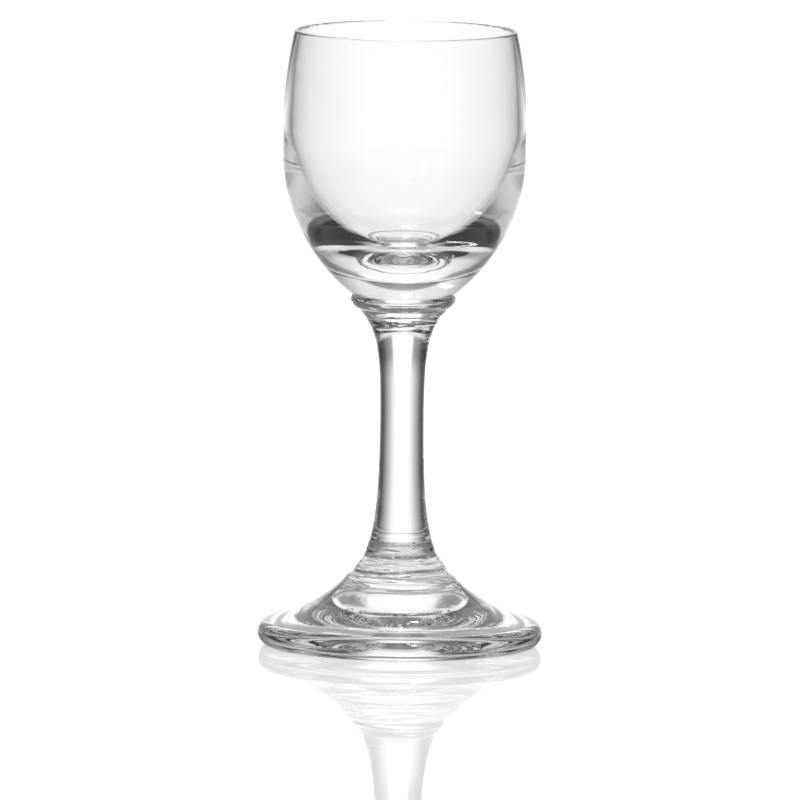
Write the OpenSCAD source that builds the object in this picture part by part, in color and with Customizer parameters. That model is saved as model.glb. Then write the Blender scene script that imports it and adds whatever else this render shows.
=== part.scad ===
// Cordial glass: a small stemmed glass of three gathers, fused while hot.
// The bowl sits on the stem's flared head, and the stem sits on the foot's hub.
// Origin: centre of the resting ring under the foot. +Z runs up the axis.

/* [Overall] */
// Height from the table to the lip
glass_h = 100; // [85:0.5:120]
// Height of the bowl, from its fused joint to the lip
bowl_h = 42.9; // [36:0.1:51]
// Height of the foot, from the table to its fused joint
foot_h = 14.6; // [12:0.1:17.5]

/* [Bowl] */
// Widest outside diameter of the bowl
bowl_d = 39.3; // [37:0.1:46]
// Outside diameter at the lip
lip_d = 36.2; // [32:0.1:36.6]
// Radius of the outside curve under the widest part
bowl_side_r = 29.1; // [26:0.1:34]
// Height of the upright band between the side curve and the shoulder
bowl_band_h = 4.6; // [1:0.1:7]
// Wall thickness at the lip
lip_wall = 0.8; // [0.6:0.05:1.2]
// Wall thickness at the widest part
bowl_wall = 1.4; // [1.1:0.05:2]
// Height of the cavity's widest part above the foot of the band
cavity_rise = 3.8; // [2:0.1:5]
// Radius of the cavity's side curve
cavity_side_r = 23; // [20:0.1:26]
// Slope from upright at which the side curve gives way to the corner
cavity_side_turn = 45; // [40:1:50]
// Radius of the cavity's corner
cavity_corner_r = 14; // [11:0.1:16]
// Slope from upright at which the corner gives way to the floor
cavity_floor_turn = 75; // [65:1:80]

/* [Stem] */
// Setting of the stem's diameter, which the two flares add a little to at the waist
stem_d = 6.9; // [5.8:0.1:8.5]
// Diameter of the head that carries the bowl
head_d = 17; // [14.5:0.1:19]
// Diameter of the fused joint between the head and the bowl
head_joint_d = 16.3; // [13.5:0.1:16.8]
// Height of the head's rounded upper edge
head_edge_h = 0.8; // [0.5:0.05:1.5]
// Radius of the head's rounded lower edge
head_edge_r = 0.9; // [0.5:0.05:1.4]
// Slope from upright at which the head turns into the stem
head_turn = 52; // [40:1:60]
// Diameter of the fused joint between the stem and the foot
tail_d = 11.9; // [10:0.1:14.5]
// Height over which the lower flare falls to about a third
tail_fall = 5.8; // [4:0.1:7]

/* [Foot] */
// Outside diameter of the foot
foot_d = 46.1; // [40:0.1:56]
// Height of the rim's widest line above the table
rim_mid_h = 2.2; // [1.6:0.1:2.6]
// Height of the rim's upper rounding
rim_top_h = 1.9; // [1.4:0.1:2.3]
// Width of the rim's rounding
rim_round = 2; // [1.5:0.1:2.4]
// Turn of the rim's upper rounding before it meets the slope
rim_turn = 70; // [55:1:80]
// Diameter at the base of the ringed hub
hub_d = 20.6; // [17:0.1:25]
// Height of the hub's base above the table
hub_base_h = 9.6; // [8:0.1:10.5]
// Depth of the hub side's hollow curve
hub_sag = 0.35; // [0:0.05:0.6]
// Depth of the upper slope's hollow curve
slope_sag = 0.8; // [0:0.05:1.2]
// Number of rings that the press leaves round the hub
ring_n = 2; // [1:1:4]
// Height of each ring above the hub's side
ring_h = 0.18; // [0:0.02:0.3]
// Width of the flat ring that the foot rests on
rest_w = 0.6; // [0.3:0.1:3]
// Depth of the hollow under the foot
hollow_h = 3.2; // [1:0.1:3.8]
// Power of the hollow's curve: a larger one gives a flatter roof and steeper sides
hollow_power = 3; // [2:0.5:5]

/* [Finish] */
// Turn between two points of a rounded outline
step_turn = 3; // [2:0.5:5]
// Segments round the axis
$fn = 128; // [96:16:192]

/* [Hidden] */

bowl_r = bowl_d / 2;
lip_r = lip_d / 2;
lip_round = lip_wall / 2;
stem_r = stem_d / 2;
head_r = head_d / 2;
head_joint_r = head_joint_d / 2;
tail_r = tail_d / 2;
foot_r = foot_d / 2;
hub_r = hub_d / 2;

// Points along an outline that isn't an arc
flare_n = 40;
slope_n = 16;
ring_point_n = 12;

// Heights of the two fused joints
bowl_joint_z = glass_h - bowl_h;
foot_joint_z = foot_h;

// The side curve turns upright at the band, and the shoulder leans in from the band's top
side_drop = bowl_r - head_joint_r;
band_z = bowl_joint_z + sqrt(pow(bowl_side_r, 2) - pow(bowl_side_r - side_drop, 2));
shoulder_z = band_z + bowl_band_h;
cavity_z = band_z + cavity_rise;
lip_z = glass_h - lip_round;

// The head's lower edge, and the flare that leaves it at the same slope
head_edge_c = [head_r - head_edge_r, bowl_joint_z - head_edge_h];
flare_top = head_edge_c + head_edge_r * [cos(head_turn), -sin(head_turn)];
head_fall = (flare_top.x - stem_r) / tan(head_turn);

// The radius of an arc that leaves an upright line and leans by x over a height h
function lean_r(x, h) = (pow(h, 2) + pow(x, 2)) / (2 * x);

// Points on an arc about c from turn a to turn b, as [radius, height]
function arc(c, r, a, b) = oval(c, [r, r], a, b);

// The same on an oval, whose half width and half height are r
function oval(c, r, a, b) =
    let (n = max(2, ceil(abs(b - a) / step_turn)))
    [for (i = [0 : n]) let (t = a + (b - a) * i / n) c + [r.x * cos(t), r.y * sin(t)]];

// Points on a shallow curve from p to q, with sag as its depth to the left
function bow(p, q, sag, n) =
    let (run = q - p, left = [-run.y, run.x] / norm(run))
    [for (i = [0 : n]) let (t = i / n) p + t * run + 4 * t * (1 - t) * sag * left];

// The stem's radius at a height: two flares that die away towards the waist
function stem_radius(z) =
    stem_r
    + (flare_top.x - stem_r) * exp((z - flare_top.y) / head_fall)
    + (tail_r - stem_r) * exp((foot_joint_z - z) / tail_fall);

// The bowl's outline, up its outside, over the lip and down the cavity
function bowl_outline() =
    let (side_turn = acos((bowl_side_r - side_drop) / bowl_side_r),
         shoulder_r = lean_r(bowl_r - lip_r, lip_z - shoulder_z),
         shoulder_turn = asin((lip_z - shoulder_z) / shoulder_r),
         cavity_r = bowl_r - bowl_wall,
         mouth_r = lean_r(cavity_r - lip_r + lip_wall, lip_z - cavity_z),
         mouth_turn = asin((lip_z - cavity_z) / mouth_r),
         side_c = [cavity_r - cavity_side_r, cavity_z],
         corner_in = cavity_side_r - cavity_corner_r,
         corner_c = side_c + corner_in * [cos(cavity_side_turn), -sin(cavity_side_turn)],
         floor_in = corner_c.x / cos(cavity_floor_turn),
         floor_c = corner_c + floor_in * [-cos(cavity_floor_turn), sin(cavity_floor_turn)])
    concat(
        [[0, bowl_joint_z]],
        arc([bowl_r - bowl_side_r, band_z], bowl_side_r, -side_turn, 0),
        arc([bowl_r - shoulder_r, shoulder_z], shoulder_r, 0, shoulder_turn),
        arc([lip_r - lip_round, lip_z], lip_round, 0, 180),
        arc([cavity_r - mouth_r, cavity_z], mouth_r, mouth_turn, 0),
        arc(side_c, cavity_side_r, 0, -cavity_side_turn),
        arc(corner_c, cavity_corner_r, -cavity_side_turn, -cavity_floor_turn),
        arc(floor_c, cavity_corner_r + floor_in, -cavity_floor_turn, -90)
    );

// The stem's outline, up from the foot joint
function stem_outline() =
    let (span = flare_top.y - foot_joint_z)
    concat(
        [[0, foot_joint_z]],
        [for (i = [0 : flare_n - 1]) let (z = foot_joint_z + span * i / flare_n) [stem_radius(z), z]],
        arc(head_edge_c, head_edge_r, -head_turn, 0),
        oval([head_joint_r, head_edge_c.y], [head_r - head_joint_r, head_edge_h], 0, 90),
        [[0, bowl_joint_z]]
    );

// The rings round the hub: bulges that meet in creases
function ringed(points) =
    let (n = len(points) - 1, run = points[n] - points[0], out = [run.y, -run.x] / norm(run))
    [for (i = [0 : n]) points[i] + ring_h * abs(sin(180 * ring_n * i / n)) * out];

// The foot's outline, out along the hollow, round the rim and up to the stem joint
function foot_outline() =
    let (rest_r = foot_r - rim_round,
         hollow_r = rest_r - rest_w,
         rim_c = [foot_r - rim_round, rim_mid_h],
         slope_start = rim_c + [rim_round * cos(rim_turn), rim_top_h * sin(rim_turn)],
         hub_base = [hub_r, hub_base_h],
         hub_top = [stem_radius(foot_joint_z), foot_joint_z])
    concat(
        [for (i = [0 : slope_n]) let (t = i / slope_n) [hollow_r * t, hollow_h * (1 - pow(t, hollow_power))]],
        oval(rim_c, [rim_round, rim_mid_h], -90, 0),
        oval(rim_c, [rim_round, rim_top_h], 0, rim_turn),
        bow(slope_start, hub_base, slope_sag, slope_n),
        ringed(bow(hub_base, hub_top, hub_sag, ring_n * ring_point_n)),
        [[0, foot_joint_z]]
    );

// The bowl: thin at the lip and solid under its cavity
module bowl() {
    color("aliceblue", 0.4)
        rotate_extrude()
            polygon(bowl_outline());
}

// The stem: a solid rod, flared into a head above and towards the hub below
module stem() {
    color("lightcyan", 0.4)
        rotate_extrude()
            polygon(stem_outline());
}

// The foot: a pressed disc with a ringed hub, a rounded rim and a hollow beneath
module foot() {
    color("azure", 0.4)
        rotate_extrude()
            polygon(foot_outline());
}

bowl();
stem();
foot();
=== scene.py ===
"""Looks of a small cordial glass: clear, pressed and fire-polished, on a pale glossy table.

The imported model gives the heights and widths. Each of its three gathers is turned again here
from the same outline, finely enough for glass to bend light smoothly, and with the faint
unevenness that the press and the fire leave.
"""

import logging
import math
from dataclasses import dataclass, field
from enum import Enum
from typing import Any, ClassVar

import bmesh
import bpy
from mathutils import Matrix, Vector


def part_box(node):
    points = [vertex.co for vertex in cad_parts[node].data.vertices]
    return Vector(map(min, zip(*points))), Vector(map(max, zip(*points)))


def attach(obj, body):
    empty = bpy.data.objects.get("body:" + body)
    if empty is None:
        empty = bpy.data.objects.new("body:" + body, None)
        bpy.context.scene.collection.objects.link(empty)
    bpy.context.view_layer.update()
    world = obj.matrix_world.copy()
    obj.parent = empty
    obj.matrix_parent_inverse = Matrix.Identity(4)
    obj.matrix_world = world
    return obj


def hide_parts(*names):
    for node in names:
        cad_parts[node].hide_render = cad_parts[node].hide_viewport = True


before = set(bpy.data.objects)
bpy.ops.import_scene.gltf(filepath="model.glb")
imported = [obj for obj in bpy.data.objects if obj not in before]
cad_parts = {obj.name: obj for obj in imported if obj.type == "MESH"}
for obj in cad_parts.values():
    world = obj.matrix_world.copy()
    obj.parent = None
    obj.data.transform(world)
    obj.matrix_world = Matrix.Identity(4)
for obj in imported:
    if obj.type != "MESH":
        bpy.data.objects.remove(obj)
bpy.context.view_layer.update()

LOG = logging.getLogger("cordial_glass")
MM = 0.001
BODY = "root"

# How many times light may bounce inside thick glass, and the fineness of every noise
BOUNCES = 32
NOISE_DETAIL = 2.0

# (radius, height) on an outline, or (place, brightness) in a light
Point = tuple[float, float]


@dataclass(frozen=True)
class Wire:
    """A number that a node gives, on which Python's sums add Math nodes."""

    maker: "NodeMaker"
    socket: bpy.types.NodeSocket

    def __add__(self, other: "Wire | float") -> "Wire":
        """Gives self + other."""
        return self.maker.math("ADD", self, other)

    def __radd__(self, other: float) -> "Wire":
        """Gives other + self."""
        return self.maker.math("ADD", other, self)

    def __sub__(self, other: "Wire | float") -> "Wire":
        """Gives self - other."""
        return self.maker.math("SUBTRACT", self, other)

    def __rsub__(self, other: float) -> "Wire":
        """Gives other - self."""
        return self.maker.math("SUBTRACT", other, self)

    def __mul__(self, other: "Wire | float") -> "Wire":
        """Gives self * other."""
        return self.maker.math("MULTIPLY", self, other)

    def __rmul__(self, other: float) -> "Wire":
        """Gives other * self."""
        return self.maker.math("MULTIPLY", other, self)

    def __truediv__(self, other: "Wire | float") -> "Wire":
        """Gives self / other."""
        return self.maker.math("DIVIDE", self, other)

    def __rtruediv__(self, other: float) -> "Wire":
        """Gives other / self."""
        return self.maker.math("DIVIDE", other, self)

    def __gt__(self, other: "Wire | float") -> "Wire":
        """Gives 1 where self is greater than other, and 0 elsewhere."""
        return self.maker.math("GREATER_THAN", self, other)


class NodeMaker:
    """Adds nodes to one tree, which may be a material's, the world's or a geometry tree."""

    def __init__(self, tree: bpy.types.NodeTree) -> None:
        """Keeps the tree.

        Args:
            tree: The tree that the nodes go into.
        """
        self.tree = tree

    def node(
        self,
        kind: str,
        settings: dict[str, Any] | None = None,
        inputs: dict[int | str, Any] | None = None,
    ) -> bpy.types.Node:
        """Adds one node.

        Args:
            kind: The node's type.
            settings: Its own settings, set first. "stops" holds a ramp's (place, brightness) pairs.
            inputs: Values or links for its sockets, by name or by place.

        Returns:
            The node.
        """
        node = self.tree.nodes.new(kind)
        for name, value in (settings or {}).items():
            if name == "stops":
                self._set_stops(node.color_ramp, value)
            else:
                setattr(node, name, value)
        for key, value in (inputs or {}).items():
            socket = node.inputs[key]
            source = value.socket if isinstance(value, Wire) else value
            if isinstance(source, bpy.types.NodeSocket):
                self.tree.links.new(source, socket)
            else:
                socket.default_value = source
        return node

    def value(
        self,
        kind: str,
        settings: dict[str, Any] | None = None,
        inputs: dict[int | str, Any] | None = None,
        output: int | str = 0,
    ) -> Wire:
        """Adds one node and gives one of its outputs.

        Args:
            kind: The node's type.
            settings: Its own settings.
            inputs: Values or links for its sockets.
            output: The output, by name or by place.

        Returns:
            The output, ready for sums.
        """
        return Wire(self, self.node(kind, settings, inputs).outputs[output])

    def math(self, operation: str, *values: Wire | float) -> Wire:
        """Adds a Math node.

        Args:
            operation: The node's operation.
            values: Its inputs in order.

        Returns:
            The result.
        """
        return self.value("ShaderNodeMath", {"operation": operation}, dict(enumerate(values)))

    def vector(self, x: Wire | float, y: Wire | float, z: Wire | float) -> Wire:
        """Joins three numbers to a vector."""
        return self.value("ShaderNodeCombineXYZ", None, {0: x, 1: y, 2: z})

    def part(self, vector: Wire, axis: str) -> Wire:
        """Gives one of a vector's numbers, X, Y or Z."""
        return self.value("ShaderNodeSeparateXYZ", None, {0: vector}, axis)

    def along(self, vector: Wire, scale: Wire | float) -> Wire:
        """Gives a vector times a number."""
        settings = {"operation": "SCALE"}
        return self.value("ShaderNodeVectorMath", settings, {0: vector, "Scale": scale})

    def share(self, value: Wire, start: float, end: float) -> Wire:
        """Gives how far a value has come from start to end, eased, from 0 to 1."""
        inputs = {"Value": value, "From Min": start, "From Max": end, "To Min": 0.0, "To Max": 1.0}
        return self.value("ShaderNodeMapRange", {"interpolation_type": "SMOOTHSTEP"}, inputs)

    @staticmethod
    def _set_stops(ramp: bpy.types.ColorRamp, stops: list[Point]) -> None:
        """Sets a ramp's stops from (place, brightness) pairs."""
        while len(ramp.elements) < len(stops):
            ramp.elements.new(1.0)
        while len(ramp.elements) > len(stops):
            ramp.elements.remove(ramp.elements[-1])
        for element, (place, bright) in zip(ramp.elements, stops):
            element.position = place
            element.color = grey(bright)


def grey(bright: float) -> tuple[float, float, float, float]:
    """Gives an opaque colour without a tint."""
    return (bright, bright, bright, 1)


@dataclass(frozen=True)
class ClearGlass:
    """Clear soda glass: a polished skin that dips and swells slightly, scuffed where it rests."""

    name: str
    ior: float = 1.52
    # Dips and swells of the fire-polished skin
    dimple: float = 3 * MM
    dimple_depth: float = 0.002 * MM
    haze: float = 0.006
    # Wear of the ring that the foot rests on, full up to one height and gone at the next
    scuff: float = 0.3
    scuff_top: tuple[float, float] = (0.05 * MM, 0.35 * MM)
    grain: float = 0.15 * MM

    def material(self) -> bpy.types.Material:
        """Makes the material.

        Returns:
            The material.
        """
        material, maker = new_material(self.name)
        place = maker.value("ShaderNodeTexCoord", output="Object")
        height = self.noise(maker, place, self.dimple)
        bump = {"Strength": 1.0, "Distance": self.dimple_depth, "Height": height}
        rested = 1 - maker.share(maker.part(place, "Z"), *self.scuff_top)
        worn = self.noise(maker, place, self.grain) * self.scuff * rested
        inputs = {
            "Base Color": grey(1),
            "Transmission Weight": 1.0,
            "Roughness": worn + height * self.haze,
            "IOR": self.ior,
            "Normal": maker.value("ShaderNodeBump", None, bump),
        }
        shader = maker.value("ShaderNodeBsdfPrincipled", None, inputs)
        maker.node("ShaderNodeOutputMaterial", None, {"Surface": shader})
        return material

    @staticmethod
    def noise(maker: NodeMaker, place: Wire, width: float) -> Wire:
        """Gives smooth noise from 0 to 1.

        Args:
            maker: The tree's maker.
            place: The position.
            width: The width of its swells.

        Returns:
            The noise.
        """
        inputs = {"Vector": place, "Scale": 1 / width, "Detail": NOISE_DETAIL}
        return maker.value("ShaderNodeTexNoise", None, inputs)


@dataclass(frozen=True)
class FusedJoint:
    """The face at which two gathers are fused: light crosses it as if it weren't there."""

    name: str = "fused_joint"

    def material(self) -> bpy.types.Material:
        """Makes the material.

        Returns:
            The material.
        """
        material, maker = new_material(self.name)
        shader = maker.value("ShaderNodeBsdfTransparent", None, {"Color": grey(1)})
        maker.node("ShaderNodeOutputMaterial", None, {"Surface": shader})
        return material


def new_material(name: str) -> tuple[bpy.types.Material, NodeMaker]:
    """Makes an empty node material.

    Args:
        name: The material's name.

    Returns:
        The material and a maker for its tree.
    """
    material = bpy.data.materials.new(name)
    material.use_nodes = True
    material.node_tree.nodes.clear()
    return material, NodeMaker(material.node_tree)


class Skin(Enum):
    """What made each stretch of an outline, and how uneven that left it.

    Each has its maker's words, the height of its ring-shaped ripples, and the height of the
    dips and swells that follow no ring.
    """

    FIRED = ("fire-polished", 0.0, 0.0)
    MOULD = ("pressed against the mould", 0.03 * MM, 0.01 * MM)
    RINGED = ("tooled in rings", 0.35 * MM, 0.02 * MM)
    PLUNGER = ("pressed by the plunger", 0.03 * MM, 0.02 * MM)
    HOLLOW = ("pressed from below", 0.02 * MM, 0.008 * MM)
    MARKED = ("pressed from below in the middle", 0.04 * MM, 0.01 * MM)
    JOINT = ("fused to the next gather", 0.0, 0.0)

    def __init__(self, words: str, ripple: float, dent: float) -> None:
        """Keeps what the skin says of itself.

        Args:
            words: What made it.
            ripple: Height of the ring-shaped ripples.
            dent: Height of the other dips and swells.
        """
        self.words = words
        self.ripple = ripple
        self.dent = dent


@dataclass
class Outline:
    """Points of a turned shape, as (radius, height), each with the skin that follows it."""

    # Length from one point to the next
    step: float
    points: list[Point] = field(default_factory=list)
    skins: list[Skin] = field(default_factory=list)

    # The least number of points on a rounded stretch and on a shallow one
    LEAST_ROUND: ClassVar[int] = 8
    LEAST_SHALLOW: ClassVar[int] = 2
    # Two points nearer than this share of a step are one point
    SAME: ClassVar[float] = 0.01

    def add(self, points: list[Point], skin: Skin) -> None:
        """Adds points, leaving out one that repeats the last.

        Args:
            points: The points in order.
            skin: What made this stretch.
        """
        for point in points:
            if self.points and math.dist(point, self.points[-1]) < self.step * self.SAME:
                continue
            self.points.append(point)
            self.skins.append(skin)

    def oval(self, centre: Point, radii: Point, start: float, end: float, skin: Skin) -> None:
        """Adds part of an oval.

        Args:
            centre: Its centre.
            radii: Its half width and half height.
            start: The turn at which it starts, in degrees from straight out.
            end: The turn at which it ends.
            skin: What made this stretch.
        """
        length = max(radii) * math.radians(abs(end - start))
        count = max(self.LEAST_ROUND, math.ceil(length / self.step))
        turns = [math.radians(start + (end - start) * i / count) for i in range(count + 1)]
        points = [
            (centre[0] + radii[0] * math.cos(t), centre[1] + radii[1] * math.sin(t)) for t in turns
        ]
        self.add(points, skin)

    def arc(self, centre: Point, radius: float, start: float, end: float, skin: Skin) -> None:
        """Adds part of a circle, as oval does."""
        self.oval(centre, (radius, radius), start, end, skin)

    def line(self, end: Point, skin: Skin) -> None:
        """Adds a straight run from the last point to end."""
        self.bow(self.points[-1], end, 0.0, skin)

    def bow(
        self, start: Point, end: Point, sag: float, skin: Skin, rings: int = 0, ring: float = 0.0
    ) -> None:
        """Adds a shallow curve, which may carry rings that meet in creases.

        Args:
            start: Where it starts.
            end: Where it ends.
            sag: Its depth to the left of the run.
            skin: What made this stretch.
            rings: How many rings it carries.
            ring: How far each ring stands out to the right of the run.
        """
        run = (end[0] - start[0], end[1] - start[1])
        length = math.hypot(*run)
        count = max(self.LEAST_SHALLOW, math.ceil(length / self.step))
        if rings:
            count = rings * math.ceil(count / rings)
        points = []
        for i in range(count + 1):
            t = i / count
            left = 4 * t * (1 - t) * sag - ring * abs(math.sin(math.pi * rings * t))
            x = start[0] + t * run[0] - left * run[1] / length
            z = start[1] + t * run[1] + left * run[0] / length
            points.append((x, z))
        self.add(points, skin)

    def mark(self, skin: Skin, radius: float, width: float, height: float) -> None:
        """Raises a faint ring, such as a tool leaves, on the stretches that have one skin.

        Args:
            skin: The stretches' skin.
            radius: The ring's radius.
            width: Its width.
            height: How far it is raised.
        """
        for i, ((x, z), owner) in enumerate(zip(self.points, self.skins)):
            if owner is skin:
                self.points[i] = (x, z + height * math.exp(-(((x - radius) / width) ** 2)))

    def object(self, name: str) -> bpy.types.Object:
        """Makes the outline an object whose points carry what the turning tree reads.

        Args:
            name: The object's name.

        Returns:
            The object.
        """
        mesh = bpy.data.meshes.new(name)
        mesh.from_pydata([(r, 0, z) for r, z in self.points], [], [])
        along = [0.0]
        for first, second in zip(self.points, self.points[1:]):
            along.append(along[-1] + math.dist(first, second))
        columns = {
            "along": along,
            "ripple": self._eased([s.ripple for s in self.skins], along),
            "dent": self._eased([s.dent for s in self.skins], along),
            "joint": [float(s is Skin.JOINT) for s in self.skins],
        }
        for title, values in columns.items():
            mesh.attributes.new(title, "FLOAT", "POINT").data.foreach_set("value", values)
        made = bpy.data.objects.new(name, mesh)
        bpy.context.scene.collection.objects.link(made)
        return made

    def words(self) -> str:
        """Says what made the outline's stretches, in order."""
        return ", ".join(dict.fromkeys(skin.words for skin in self.skins))

    @staticmethod
    def _eased(values: list[float], along: list[float], reach: float = 1.2 * MM) -> list[float]:
        """Blends values where one skin gives way to the next, and keeps zeros at zero.

        Args:
            values: One value a point.
            along: The length up to each point.
            reach: The length over which a value grows from a zero beside it.

        Returns:
            The blended values.
        """
        zeros = [at for at, value in zip(along, values) if value == 0]
        eased = []
        for at, value in zip(along, values):
            gap = min((abs(at - z) for z in zeros), default=reach)
            share = min(gap / reach, 1.0)
            eased.append(value * share * share * (3 - 2 * share))
        return eased


class TurningTree:
    """A geometry tree that turns an outline about the axis and leaves it faintly uneven."""

    # Points of the seam and of a pole lie nearer than this and become one
    SEAM: ClassVar[float] = 0.0005 * MM
    # An edge that turns more than this stays sharp
    CREASE: ClassVar[float] = math.radians(14)
    # A face whose corners all lie on the joint reads 1, and one beside it less than this
    ON_JOINT: ClassVar[float] = 0.9
    # Sets the dents' noise apart from the ripples'
    DENT_SEED: ClassVar[float] = 10

    def __init__(self) -> None:
        """Builds the tree with its named inputs."""
        self.tree = bpy.data.node_groups.new("turned_glass", "GeometryNodeTree")
        self.maker = NodeMaker(self.tree)
        face = self.tree.interface
        face.new_socket("Outline", in_out="INPUT", socket_type="NodeSocketGeometry")
        face.new_socket("Segments", in_out="INPUT", socket_type="NodeSocketInt")
        for name in ("Ripple Width", "Ripple Lobes", "Dent Width", "Seed"):
            face.new_socket(name, in_out="INPUT", socket_type="NodeSocketFloat")
        for name in ("Glass", "Joint"):
            face.new_socket(name, in_out="INPUT", socket_type="NodeSocketMaterial")
        face.new_socket("Gather", in_out="OUTPUT", socket_type="NodeSocketGeometry")
        self.given = self.maker.node("NodeGroupInput")
        self._build()

    def _input(self, name: str) -> Wire:
        """Gives one of the tree's inputs by name."""
        return Wire(self.maker, self.given.outputs[name])

    def _build(self) -> None:
        """Lays out the tree: a grid takes the outline's shape, closes and ripples."""
        maker = self.maker
        outline = self._input("Outline")
        segments = self._input("Segments")
        count = maker.value("GeometryNodeAttributeDomainSize", None, {"Geometry": outline})
        rows = count - 1
        size = {"Size X": segments, "Size Y": rows, "Vertices X": segments + 1, "Vertices Y": count}
        grid = maker.value("GeometryNodeMeshGrid", None, size, "Mesh")
        place = maker.value("GeometryNodeInputPosition")
        column = maker.part(place, "X") + segments / 2
        row = maker.math("ROUND", maker.part(place, "Y") + rows / 2)
        angle = column / segments * math.tau
        turned = maker.math("COSINE", angle)
        leaned = maker.math("SINE", angle)
        sample = {"Geometry": outline, "Index": row, "Value": place}
        settings = {"data_type": "FLOAT_VECTOR", "domain": "POINT"}
        point = maker.value("GeometryNodeSampleIndex", settings, sample)
        radius, height = maker.part(point, "X"), maker.part(point, "Z")
        shape = grid
        for title in ("along", "ripple", "dent", "joint"):
            shape = self._carry(shape, outline, row, title)
        lobes = self._input("Ripple Lobes")
        for title, value in (("east", turned * lobes), ("north", leaned * lobes)):
            stored = {"Geometry": shape, "Name": title, "Value": value}
            shape = maker.value("GeometryNodeStoreNamedAttribute", {"domain": "POINT"}, stored)
        ring = maker.vector(radius * turned, radius * leaned, height)
        shape = maker.value("GeometryNodeSetPosition", None, {"Geometry": shape, "Position": ring})
        merge = {"Geometry": shape, "Distance": self.SEAM}
        shape = maker.value("GeometryNodeMergeByDistance", None, merge)
        shape = maker.value("GeometryNodeSetPosition", None, {"Geometry": shape, "Offset": self._offset()})
        shape = self._shade(shape)
        shape = maker.value("GeometryNodeRealizeInstances", None, {"Geometry": shape})
        dress = {"Geometry": shape, "Material": self._input("Glass")}
        shape = maker.value("GeometryNodeSetMaterial", None, dress)
        joint = self._read("joint") > self.ON_JOINT
        dress = {"Geometry": shape, "Material": self._input("Joint"), "Selection": joint}
        shape = maker.value("GeometryNodeSetMaterial", None, dress)
        maker.node("NodeGroupOutput", None, {"Gather": shape})

    def _read(self, title: str) -> Wire:
        """Reads one of the points' own values."""
        settings = {"data_type": "FLOAT"}
        return self.maker.value("GeometryNodeInputNamedAttribute", settings, {"Name": title})

    def _carry(self, shape: Wire, outline: Wire, row: Wire, title: str) -> Wire:
        """Copies a value from the outline's points to the points turned from them.

        Args:
            shape: The turned points.
            outline: The outline.
            row: Which of the outline's points each came from.
            title: The value's name.

        Returns:
            The points with the value stored.
        """
        sample = {"Geometry": outline, "Index": row, "Value": self._read(title)}
        settings = {"data_type": "FLOAT", "domain": "POINT"}
        value = self.maker.value("GeometryNodeSampleIndex", settings, sample)
        stored = {"Geometry": shape, "Name": title, "Value": value}
        return self.maker.value("GeometryNodeStoreNamedAttribute", {"domain": "POINT"}, stored)

    def _offset(self) -> Wire:
        """Gives how far each point moves along its normal: ripples in rings, and dents."""
        maker = self.maker
        ring = maker.vector(
            self._read("along") / self._input("Ripple Width"), self._read("east"), self._read("north")
        )
        seed = self._input("Seed")
        ripple = self._noise(ring, seed) * self._read("ripple")
        place = maker.value("GeometryNodeInputPosition")
        spot = maker.along(place, 1 / self._input("Dent Width"))
        dent = self._noise(spot, seed + self.DENT_SEED) * self._read("dent")
        normal = maker.value("GeometryNodeInputNormal")
        return maker.along(normal, ripple + dent)

    def _noise(self, place: Wire, seed: Wire) -> Wire:
        """Gives smooth noise from about -1 to 1."""
        inputs = {"Vector": place, "W": seed, "Scale": 1.0, "Detail": NOISE_DETAIL}
        settings = {"noise_dimensions": "4D"}
        return (self.maker.value("ShaderNodeTexNoise", settings, inputs) - 0.5) * 2

    def _shade(self, shape: Wire) -> Wire:
        """Shades smooth, apart from edges that turn more than a crease does."""
        maker = self.maker
        smooth = {"Geometry": shape, "Shade Smooth": True}
        shape = maker.value("GeometryNodeSetShadeSmooth", {"domain": "FACE"}, smooth)
        bend = maker.value("GeometryNodeInputMeshEdgeAngle", None, None, "Unsigned Angle")
        sharp = {"Geometry": shape, "Selection": bend > self.CREASE, "Shade Smooth": False}
        return maker.value("GeometryNodeSetShadeSmooth", {"domain": "EDGE"}, sharp)

    def turn(self, outline: bpy.types.Object, values: dict[str, Any]) -> bpy.types.Mesh:
        """Turns one outline into a plain mesh and removes the outline.

        Args:
            outline: The outline's object.
            values: The tree's inputs by name.

        Returns:
            The mesh.
        """
        modifier = outline.modifiers.new(self.tree.name, "NODES")
        modifier.node_group = self.tree
        for item in self.tree.interface.items_tree:
            if item.item_type == "SOCKET" and item.name in values:
                modifier[item.identifier] = values[item.name]
        graph = bpy.context.evaluated_depsgraph_get()
        mesh = bpy.data.meshes.new_from_object(outline.evaluated_get(graph), depsgraph=graph)
        bpy.data.objects.remove(outline)
        return mesh


def plain_object(name: str, mesh: bpy.types.Mesh) -> bpy.types.Object:
    """Links a mesh as an object at the origin."""
    made = bpy.data.objects.new(name, mesh)
    bpy.context.scene.collection.objects.link(made)
    return made


def face_outwards(mesh: bpy.types.Mesh) -> float:
    """Turns a closed mesh's faces outwards.

    Args:
        mesh: The mesh.

    Returns:
        Its volume.
    """
    shape = bmesh.new()
    shape.from_mesh(mesh)
    volume = shape.calc_volume(signed=True)
    if volume < 0:
        bmesh.ops.reverse_faces(shape, faces=shape.faces)
        shape.to_mesh(mesh)
    shape.free()
    return abs(volume)


@dataclass(frozen=True)
class Levels:
    """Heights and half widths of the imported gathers."""

    lip_z: float
    bowl_joint_z: float
    foot_joint_z: float
    bowl_r: float
    head_r: float
    foot_r: float

    @classmethod
    def from_frame(cls) -> "Levels":
        """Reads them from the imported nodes' boxes."""
        bowl_low, bowl_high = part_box("bowl")
        foot_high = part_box("foot")[1]
        return cls(
            lip_z=bowl_high.z,
            bowl_joint_z=bowl_low.z,
            foot_joint_z=foot_high.z,
            bowl_r=bowl_high.x,
            head_r=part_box("stem")[1].x,
            foot_r=foot_high.x,
        )


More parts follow.
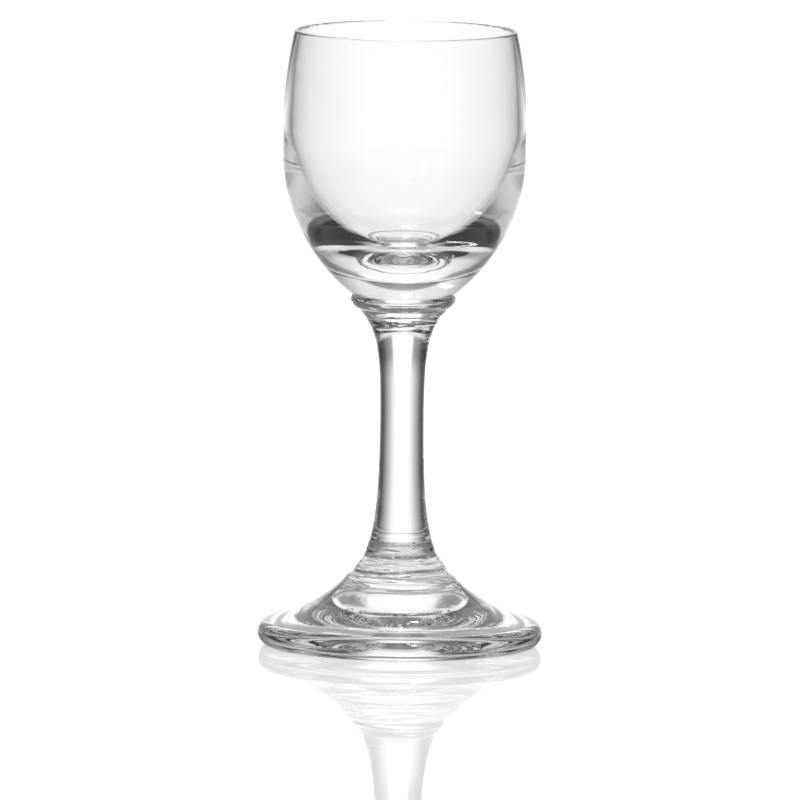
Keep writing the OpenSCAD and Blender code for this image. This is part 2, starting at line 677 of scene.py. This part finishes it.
@dataclass
class Gather:
    """One gather of hot glass: its outline is turned, dressed and set on the frame."""

    levels: Levels
    tree: TurningTree
    # Length from one point of the outline to the next, and how many times it is turned
    step: float = 0.3 * MM
    segments: int = 256
    # Width of the ripples along the outline, and how much they change round the axis
    ripple_width: float = 0.9 * MM
    ripple_lobes: float = 0.25
    dent_width: float = 3.0 * MM
    seed: float = 1.0

    node: ClassVar[str]
    piece: ClassVar[str]

    def outline(self) -> Outline:
        """Gives the outline. Each gather has its own."""
        raise NotImplementedError

    def build(self, glass: bpy.types.Material, joint: bpy.types.Material) -> bpy.types.Object:
        """Makes the gather.

        Args:
            glass: The finish of its skin.
            joint: The finish of its fused faces.

        Returns:
            The finished piece, riding on the frame.
        """
        values = {
            "Segments": self.segments,
            "Ripple Width": self.ripple_width,
            "Ripple Lobes": self.ripple_lobes,
            "Dent Width": self.dent_width,
            "Seed": self.seed,
            "Glass": glass,
            "Joint": joint,
        }
        outline = self.outline()
        mesh = self.tree.turn(outline.object(self.node + "_outline"), values)
        mesh.name = self.piece
        volume = face_outwards(mesh)
        piece = plain_object(self.piece, mesh)
        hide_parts(self.node)
        self.node + "_glass"
        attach(piece, BODY)
        LOG.info("%s: %d faces, %.0f mm3", self.piece, len(mesh.polygons), volume / MM**3)
        LOG.info("%s: %s", self.piece, outline.words())
        return piece


@dataclass
class Bowl(Gather):
    """The bowl: thin at the lip, solid under its cavity."""

    ripple_width: float = 1.2 * MM
    ripple_lobes: float = 0.5
    seed: float = 1.0
    lip_d: float = 36.2 * MM
    joint_d: float = 16.3 * MM
    side_r: float = 29.1 * MM
    band_h: float = 4.6 * MM
    lip_wall: float = 0.8 * MM
    wall: float = 1.4 * MM
    cavity_rise: float = 3.8 * MM
    cavity_side_r: float = 23 * MM
    cavity_side_turn: float = 45
    cavity_corner_r: float = 14 * MM
    cavity_floor_turn: float = 75
    # The faint ring that the plunger leaves in the cavity's floor
    mark_r: float = 10.8 * MM
    mark_w: float = 0.4 * MM
    mark_h: float = 0.12 * MM

    node: ClassVar[str] = "bowl"
    piece: ClassVar[str] = "clear_bowl"

    def outline(self) -> Outline:
        """Gives the outline, up the outside, over the lip and down the cavity."""
        levels = self.levels
        joint_r = self.joint_d / 2
        drop = levels.bowl_r - joint_r
        side_turn = math.degrees(math.acos((self.side_r - drop) / self.side_r))
        band_z = levels.bowl_joint_z + math.sqrt(self.side_r**2 - (self.side_r - drop) ** 2)
        shoulder_z = band_z + self.band_h
        cavity_z = band_z + self.cavity_rise
        lip_round = self.lip_wall / 2
        lip_r = self.lip_d / 2
        lip_z = levels.lip_z - lip_round
        shoulder_r = lean_radius(levels.bowl_r - lip_r, lip_z - shoulder_z)
        shoulder_turn = math.degrees(math.asin((lip_z - shoulder_z) / shoulder_r))
        cavity_r = levels.bowl_r - self.wall
        mouth_r = lean_radius(cavity_r - lip_r + self.lip_wall, lip_z - cavity_z)
        mouth_turn = math.degrees(math.asin((lip_z - cavity_z) / mouth_r))
        side_x = cavity_r - self.cavity_side_r
        inward = self.cavity_side_r - self.cavity_corner_r
        side = math.radians(self.cavity_side_turn)
        corner = (side_x + inward * math.cos(side), cavity_z - inward * math.sin(side))
        floor = math.radians(self.cavity_floor_turn)
        floor_in = corner[0] / math.cos(floor)
        floor_z = corner[1] + floor_in * math.sin(floor)
        made = Outline(self.step)
        made.add([(0.0, levels.bowl_joint_z)], Skin.JOINT)
        made.line((joint_r, levels.bowl_joint_z), Skin.JOINT)
        made.arc((levels.bowl_r - self.side_r, band_z), self.side_r, -side_turn, 0, Skin.FIRED)
        made.line((levels.bowl_r, shoulder_z), Skin.FIRED)
        made.arc((levels.bowl_r - shoulder_r, shoulder_z), shoulder_r, 0, shoulder_turn, Skin.FIRED)
        made.arc((lip_r - lip_round, lip_z), lip_round, 0, 180, Skin.FIRED)
        made.arc((cavity_r - mouth_r, cavity_z), mouth_r, mouth_turn, 0, Skin.FIRED)
        side_end, corner_end = -self.cavity_side_turn, -self.cavity_floor_turn
        made.arc((side_x, cavity_z), self.cavity_side_r, 0, side_end, Skin.FIRED)
        made.arc(corner, self.cavity_corner_r, side_end, corner_end, Skin.PLUNGER)
        made.arc((0, floor_z), self.cavity_corner_r + floor_in, corner_end, -90, Skin.PLUNGER)
        made.mark(Skin.PLUNGER, self.mark_r, self.mark_w, self.mark_h)
        return made


def lean_radius(lean: float, height: float) -> float:
    """Gives the radius of an arc that leaves an upright line and leans over a height."""
    return (height**2 + lean**2) / (2 * lean)


@dataclass
class Stem(Gather):
    """The stem: a solid rod, flared into a head above and towards the hub below."""

    seed: float = 2.0
    stem_d: float = 6.9 * MM
    head_joint_d: float = 16.3 * MM
    head_edge_h: float = 0.8 * MM
    head_edge_r: float = 0.9 * MM
    head_turn: float = 52
    tail_d: float = 11.9 * MM
    tail_fall: float = 5.8 * MM
    # How far the tool's rings reach up from the tail and down from the head
    tail_rings_h: float = 3.5 * MM
    head_rings_h: float = 4 * MM

    node: ClassVar[str] = "stem"
    piece: ClassVar[str] = "clear_stem"

    @property
    def edge(self) -> Point:
        """Centre of the head's rounded lower edge."""
        return (self.levels.head_r - self.head_edge_r, self.levels.bowl_joint_z - self.head_edge_h)

    @property
    def flare_top(self) -> Point:
        """Where the flare leaves the head's rounded edge."""
        turn = math.radians(self.head_turn)
        x, z = self.edge
        return (x + self.head_edge_r * math.cos(turn), z - self.head_edge_r * math.sin(turn))

    def radius(self, z: float) -> float:
        """Gives the stem's radius at a height: two flares that die away towards the waist."""
        stem_r = self.stem_d / 2
        top_r, top_z = self.flare_top
        fall = (top_r - stem_r) / math.tan(math.radians(self.head_turn))
        upper = (top_r - stem_r) * math.exp((z - top_z) / fall)
        lower = (self.tail_d / 2 - stem_r) * math.exp((self.levels.foot_joint_z - z) / self.tail_fall)
        return stem_r + upper + lower

    def outline(self) -> Outline:
        """Gives the outline, up from the foot joint."""
        levels = self.levels
        start = levels.foot_joint_z
        span = self.flare_top[1] - start
        count = math.ceil(span / self.step)
        heights = [start + span * i / count for i in range(count)]
        head_joint_r = self.head_joint_d / 2
        made = Outline(self.step)
        made.add([(0.0, start)], Skin.JOINT)
        made.line((self.radius(start), start), Skin.JOINT)
        plain_z = (start + self.tail_rings_h, self.flare_top[1] - self.head_rings_h)
        for z in heights:
            skin = Skin.FIRED if plain_z[0] < z < plain_z[1] else Skin.RINGED
            made.add([(self.radius(z), z)], skin)
        made.arc(self.edge, self.head_edge_r, -self.head_turn, 0, Skin.RINGED)
        radii = (levels.head_r - head_joint_r, self.head_edge_h)
        made.oval((head_joint_r, self.edge[1]), radii, 0, 90, Skin.FIRED)
        made.skins[-1] = Skin.JOINT
        made.line((0.0, levels.bowl_joint_z), Skin.JOINT)
        return made


@dataclass
class Foot(Gather):
    """The foot: a pressed disc with a ringed hub, a rounded rim and a hollow beneath."""

    step: float = 0.2 * MM
    ripple_width: float = 1.2 * MM
    seed: float = 3.0
    # Radius at which the hub meets the stem's tail
    hub_top_r: float = field(kw_only=True)
    rim_mid_h: float = 2.2 * MM
    rim_top_h: float = 1.9 * MM
    rim_round: float = 2 * MM
    rim_turn: float = 70
    hub_d: float = 20.6 * MM
    hub_base_h: float = 9.6 * MM
    hub_sag: float = 0.35 * MM
    slope_sag: float = 0.8 * MM
    ring_n: int = 2
    ring_h: float = 0.18 * MM
    rest_w: float = 0.6 * MM
    hollow_h: float = 3.2 * MM
    hollow_power: float = 3
    # The faint ring that the press leaves in the hollow's roof
    mark_r: float = 8.6 * MM
    mark_w: float = 0.8 * MM
    mark_h: float = -0.25 * MM

    node: ClassVar[str] = "foot"
    piece: ClassVar[str] = "clear_foot"

    def outline(self) -> Outline:
        """Gives the outline, out along the hollow, round the rim and up to the stem's joint."""
        levels = self.levels
        rest_r = levels.foot_r - self.rim_round
        hollow_r = rest_r - self.rest_w
        rim = (rest_r, self.rim_mid_h)
        turn = math.radians(self.rim_turn)
        slope = (rim[0] + self.rim_round * math.cos(turn), rim[1] + self.rim_top_h * math.sin(turn))
        hub_base = (self.hub_d / 2, self.hub_base_h)
        hub_top = (self.hub_top_r, levels.foot_joint_z)
        count = math.ceil(hollow_r / self.step)
        radii = [hollow_r * i / count for i in range(count + 1)]
        hollow = [(r, self.hollow_h * (1 - (r / hollow_r) ** self.hollow_power)) for r in radii]
        made = Outline(self.step)
        made.add([point for point in hollow if point[0] <= self.mark_r], Skin.MARKED)
        made.mark(Skin.MARKED, self.mark_r, self.mark_w, self.mark_h)
        made.add([point for point in hollow if point[0] > self.mark_r], Skin.HOLLOW)
        made.line((rest_r, 0.0), Skin.FIRED)
        made.oval(rim, (self.rim_round, self.rim_mid_h), -90, 0, Skin.MOULD)
        made.oval(rim, (self.rim_round, self.rim_top_h), 0, self.rim_turn, Skin.FIRED)
        made.bow(slope, hub_base, self.slope_sag, Skin.FIRED)
        made.bow(hub_base, hub_top, self.hub_sag, Skin.RINGED, self.ring_n, self.ring_h)
        made.skins[-1] = Skin.JOINT
        made.line((0.0, levels.foot_joint_z), Skin.JOINT)
        return made


@dataclass(frozen=True)
class PhotoCamera:
    """The camera: far off, a little above the glass, and turned by the glass's own lean."""

    # Place, from the rim's and the foot's ellipses
    back: float = 2.833
    up: float = 0.363
    aim_side: float = -0.35 * MM
    aim_z: float = 39.9 * MM
    # The photographed glass leans by this many degrees
    roll: float = 0.6
    # Width of the picture, and the real width of one of its pixels at the glass
    picture_px: int = 800
    pixel: float = 0.1619 * MM
    sensor: float = 36.0
    reach: float = 100.0

    def build(self) -> bpy.types.Object:
        """Makes the camera and gives it to the scene.

        Returns:
            The camera's object.
        """
        place = Vector((0, -self.back, self.up))
        look = Vector((self.aim_side, 0, self.aim_z)) - place
        data = bpy.data.cameras.new("photo_camera")
        data.sensor_width = self.sensor
        data.lens = self.sensor * look.length / (self.picture_px * self.pixel)
        data.clip_end = self.reach
        made = bpy.data.objects.new("photo_camera", data)
        bpy.context.scene.collection.objects.link(made)
        aimed = look.to_track_quat("-Z", "Y").to_matrix().to_4x4()
        turned = Matrix.Rotation(math.radians(self.roll), 4, "Z")
        made.matrix_world = Matrix.Translation(place) @ aimed @ turned
        bpy.context.scene.camera = made
        return made


@dataclass(frozen=True)
class Band:
    """One band of the light tent, from the edge of the band below it up to its own.

    The edge is where it gives way to the next band, in degrees above the ground from start to
    end. The light has pairs of a turn away from straight behind, in degrees, and a brightness.
    """

    edge: tuple[float, float]
    light: tuple[Point, ...]


@dataclass(frozen=True)
class Lamp:
    """A small bright spot of the light tent, which gives the glass its sparkle.

    Its turn from straight behind, its rise above the ground and its width are in degrees.
    """

    turn: float
    rise: float
    width: float
    strength: float = 10.0

    @property
    def direction(self) -> Vector:
        """Which way it lies from the glass."""
        turn, rise = math.radians(self.turn), math.radians(self.rise)
        return Vector((math.sin(turn) * math.cos(rise), math.cos(turn) * math.cos(rise), math.sin(rise)))


@dataclass(frozen=True)
class TentLight:
    """The light tent's cloth: bright behind the glass, dark beside it, with a few small lamps."""

    radius: float
    bands: tuple[Band, ...]
    lamps: tuple[Lamp, ...]
    # The brightness at which a ramp's stop reads 1
    peak: float = 2.0
    # Softness of a lamp's rim, as a share of its size
    lamp_rim: float = 0.25

    def material(self) -> bpy.types.Material:
        """Makes the material.

        Returns:
            The material.
        """
        material, maker = new_material("tent_light")
        place = maker.value("ShaderNodeTexCoord", output="Object")
        across, back, up = (maker.part(place, axis) for axis in "XYZ")
        rise = maker.math("ARCSINE", up / self.radius) * math.degrees(1)
        turn = maker.math("ABSOLUTE", maker.math("ARCTAN2", across, back)) / math.pi
        light = self._by_turn(maker, turn, self.bands[0])
        for lower, upper in zip(self.bands, self.bands[1:]):
            reached = maker.share(rise, *lower.edge)
            light = light + (self._by_turn(maker, turn, upper) - light) * reached
        light = light * self.peak
        for lamp in self.lamps:
            light = light + self._spot(maker, place, lamp) * lamp.strength
        glow = {"Color": grey(1), "Strength": light}
        shader = maker.value("ShaderNodeEmission", None, glow)
        maker.node("ShaderNodeOutputMaterial", None, {"Surface": shader})
        return material

    def _by_turn(self, maker: NodeMaker, turn: Wire, band: Band) -> Wire:
        """Gives a band's brightness.

        Args:
            maker: The tree's maker.
            turn: The turn away from straight behind, from 0 to 1.
            band: The band.

        Returns:
            The brightness as a share of the peak.
        """
        half_turn = math.degrees(math.pi)
        stops = [(angle / half_turn, bright / self.peak) for angle, bright in band.light]
        return maker.value("ShaderNodeValToRGB", {"stops": stops}, {"Fac": turn})

    def _spot(self, maker: NodeMaker, place: Wire, lamp: Lamp) -> Wire:
        """Gives where a lamp shines.

        Args:
            maker: The tree's maker.
            place: The position on the tent.
            lamp: The lamp.

        Returns:
            1 inside the lamp, and 0 outside it.
        """
        toward = {0: place, 1: lamp.direction}
        facing = maker.value("ShaderNodeVectorMath", {"operation": "DOT_PRODUCT"}, toward, "Value")
        rim = math.cos(math.radians(lamp.width / 2))
        return maker.share(facing / self.radius, rim - (1 - rim) * self.lamp_rim, rim)


@dataclass(frozen=True)
class GroundFinish:
    """A ground: matt, with a glow of its own and a faint mirror image of what stands on it. Where the glow
    varies, it is painted light and painted shade.
    """

    name: str
    radius: float
    # Pairs of a distance from the axis and the glow there, which under the foot is painted shade and
    # painted light
    glow: tuple[Point, ...]
    # How pale its matt part is, and the share and the blur of the mirror image
    white: float
    mirror: float
    mirror_blur: float = 0.01
    # Distances to the side between which the glow, a painted lit strip, fades to the painted shade of the
    # unlit one, if it does
    strip: tuple[float, float] | None = None
    unlit: float = 0.1

    def material(self) -> bpy.types.Material:
        """Makes the material.

        Returns:
            The material.
        """
        material, maker = new_material(self.name)
        matt = maker.value("ShaderNodeBsdfDiffuse", None, {"Color": grey(self.white)})
        place = maker.value("ShaderNodeTexCoord", output="Object")
        radius = maker.value("ShaderNodeVectorMath", {"operation": "LENGTH"}, {0: place}, "Value")
        stops = [(at / self.radius, bright) for at, bright in self.glow]
        bright = maker.value("ShaderNodeValToRGB", {"stops": stops}, {"Fac": radius / self.radius})
        # Painted shade: away from the middle strip the glow fades to the dark unlit value
        if self.strip:
            aside = maker.share(maker.math("ABSOLUTE", maker.part(place, "X")), *self.strip)
            bright = bright + (self.unlit - bright) * aside
        glow = {"Color": maker.vector(bright, bright, bright), "Strength": 1.0}
        lit = maker.value("ShaderNodeEmission", None, glow)
        base = maker.value("ShaderNodeAddShader", None, {0: matt, 1: lit})
        gloss = maker.value("ShaderNodeBsdfGlossy", None, {"Roughness": self.mirror_blur})
        shader = maker.value("ShaderNodeMixShader", None, {0: self.mirror, 1: base, 2: gloss})
        maker.node("ShaderNodeOutputMaterial", None, {"Surface": shader})
        return material


@dataclass(frozen=True)
class WhiteSurround:
    """The world: white where it is seen, dimmer where it lights matt surfaces."""

    on_matt: float = 0.3
    # A ray's count of matt bounces is over this once it has left a matt surface
    bounced: float = 0.5

    def build(self) -> None:
        """Makes the world and gives it to the scene."""
        world = bpy.data.worlds.new("white_surround")
        world.use_nodes = True
        world.node_tree.nodes.clear()
        bpy.context.scene.world = world
        maker = NodeMaker(world.node_tree)
        path = maker.node("ShaderNodeLightPath")
        kinds = ("Camera", "Glossy", "Transmission")
        camera, glossy, transmission = (Wire(maker, path.outputs[f"Is {kind} Ray"]) for kind in kinds)
        direct = 1 - (Wire(maker, path.outputs["Diffuse Depth"]) > self.bounced)
        shows = (camera + glossy + transmission) * direct
        sky = {"Color": grey(1), "Strength": self.on_matt + (1 - self.on_matt) * shows}
        shader = maker.value("ShaderNodeBackground", None, sky)
        maker.node("ShaderNodeOutputWorld", None, {"Surface": shader})


@dataclass(frozen=True)
class Studio:
    """The studio: a white ground under a light tent that is bright behind the glass."""

    floor_r: float = 12.0
    table_r: float = 0.03
    sheet_gap: float = 0.01 * MM
    sheet_n: int = 96
    ground_glow: float = 1.05
    ground_white: float = 0.9
    ground_mirror: float = 0.48
    # Painted shade and painted light that the glass sees right under it: a bright spot in the middle, a
    # dark painted shadow ring under the foot and bright again beyond it, and how wide the middle strip is
    # outside which it all fades to painted shade
    table_painted_light_and_shade: tuple[Point, ...] = (
        (0, 0.85), (5 * MM, 0.8), (8 * MM, 0.2), (21.5 * MM, 0.2), (23 * MM, 0.8), (30 * MM, 0.8),
    )
    table_painted_lit_strip: tuple[float, float] = (11 * MM, 18 * MM)
    # The disc's matt part is dark and its mirror faint, as part of the painted shade under the foot
    table_white: float = 0.1
    table_mirror: float = 0.1
    tent_r: float = 1.6
    tent_n: int = 64
    lamps: tuple[Lamp, ...] = (
        Lamp(-152, 45, 9), Lamp(178, 31, 6), Lamp(-168, 58, 5), Lamp(-2, 30, 8, strength=3.0),
    )
    bands: tuple[Band, ...] = (
        Band((-40, -30), ((0, 0.95), (14, 0.85), (36, 0.5), (60, 0.15), (140, 0.1), (180, 0.3))),
        Band(
            (-15, -9),
            (
                (0, 1.06), (9, 1.04), (14, 0.98), (19, 0.8), (24, 0.6), (36, 0.27),
                (46, 0.08), (55, 0.1), (70, 0.3), (112, 0.3), (140, 0.5),
            ),
        ),
        Band(
            (-3, 5),
            (
                (0, 1.08), (9, 1.06), (14, 0.98), (19, 0.8), (24, 0.6), (36, 0.27),
                (46, 0.08), (56, 0.04), (110, 0.06), (140, 0.65),
            ),
        ),
        Band(
            (16, 24),
            (
                (0, 1.15), (14, 1.1), (18, 0.4), (30, 0.2), (38, 0.06), (48, 0.03),
                (95, 0.03), (112, 0.12), (130, 0.5), (150, 0.7), (180, 0.7),
            ),
        ),
        Band(
            (42, 50),
            (
                (0, 0.98), (30, 0.85), (45, 0.5), (56, 0.08), (70, 0.04),
                (95, 0.03), (112, 0.1), (137, 0.4),
            ),
        ),
        Band((90, 91), ((0, 0.25), (60, 0.12), (180, 0.18))),
    )

    def build(self, camera: bpy.types.Object) -> None:
        """Lays out the studio. The tent turns with the camera, as on a turntable set.

        Args:
            camera: The camera that the tent goes with.
        """
        WhiteSurround().build()
        self.floor()
        self.painted_shade_disc()
        tent = self.tent()
        bpy.context.view_layer.update()
        tent.parent = camera
        tent.matrix_parent_inverse = camera.matrix_world.inverted()

    def floor(self) -> None:
        """Lays the white ground, which only the camera sees."""
        glow = ((0, self.ground_glow),)
        finish = GroundFinish("white_ground", self.floor_r, glow, self.ground_white, self.ground_mirror)
        made = self.disc("floor", self.floor_r, -self.sheet_gap, finish.material())
        made.visible_transmission = False
        made.visible_glossy = False
        made.visible_diffuse = False
        made.visible_shadow = False

    def painted_shade_disc(self) -> None:
        """Lays a disc of painted shade and painted light right under the foot, which only the glass sees.
        """
        # Its glow is painted shade under the foot, with painted light in the middle and on a middle strip
        finish = GroundFinish(
            "shaded_ground", self.table_r, self.table_painted_light_and_shade, self.table_white, self.table_mirror,
            strip=self.table_painted_lit_strip,
        )
        # Below the floor's sheet, because the two would otherwise lie in one plane
        made = self.disc("painted_shade_disc", self.table_r, -2 * self.sheet_gap, finish.material())
        made.visible_camera = False

    def disc(self, name: str, radius: float, z: float, material: bpy.types.Material) -> bpy.types.Object:
        """Makes a flat round sheet of the ground.

        Args:
            name: Its name.
            radius: Its radius.
            z: Its height.
            material: Its material.

        Returns:
            The sheet.
        """
        mesh = bpy.data.meshes.new(name)
        turns = [math.tau * i / self.sheet_n for i in range(self.sheet_n)]
        corners = [(radius * math.cos(t), radius * math.sin(t), z) for t in turns]
        mesh.from_pydata(corners, [], [range(self.sheet_n)])
        mesh.materials.append(material)
        made = plain_object(name, mesh)
        return made

    def tent(self) -> bpy.types.Object:
        """Makes the closed light tent, which the camera doesn't see.

        Returns:
            The tent.
        """
        shape = bmesh.new()
        rounds, rows = self.tent_n, self.tent_n // 2
        bmesh.ops.create_uvsphere(shape, u_segments=rounds, v_segments=rows, radius=self.tent_r)
        mesh = bpy.data.meshes.new("light_tent")
        shape.to_mesh(mesh)
        shape.free()
        mesh.materials.append(TentLight(self.tent_r, self.bands, self.lamps).material())
        made = plain_object("light_tent", mesh)
        made.visible_camera = False
        made.visible_diffuse = False
        made.visible_shadow = False
        return made


def set_render_look() -> None:
    """Sets how colours are shown and how many times light may bounce in thick glass."""
    scene = bpy.context.scene
    scene.view_settings.view_transform = "Standard"
    scene.cycles.max_bounces = BOUNCES
    scene.cycles.transmission_bounces = BOUNCES
    scene.cycles.glossy_bounces = BOUNCES
    scene.cycles.transparent_max_bounces = BOUNCES


def main() -> None:
    """Builds the glass, the camera and the studio in order, and logs each piece."""
    logging.basicConfig(level=logging.INFO, format="%(name)s: %(message)s")
    levels = Levels.from_frame()
    tree = TurningTree()
    joint = FusedJoint().material()
    stem = Stem(levels, tree)
    foot = Foot(levels, tree, hub_top_r=stem.radius(levels.foot_joint_z))
    for gather in (Bowl(levels, tree), stem, foot):
        glass = ClearGlass(f"{gather.node}_glass").material()
        gather.build(glass, joint)
    camera = PhotoCamera().build()
    Studio().build(camera)
    set_render_look()


if __name__ == "__main__":
    main()
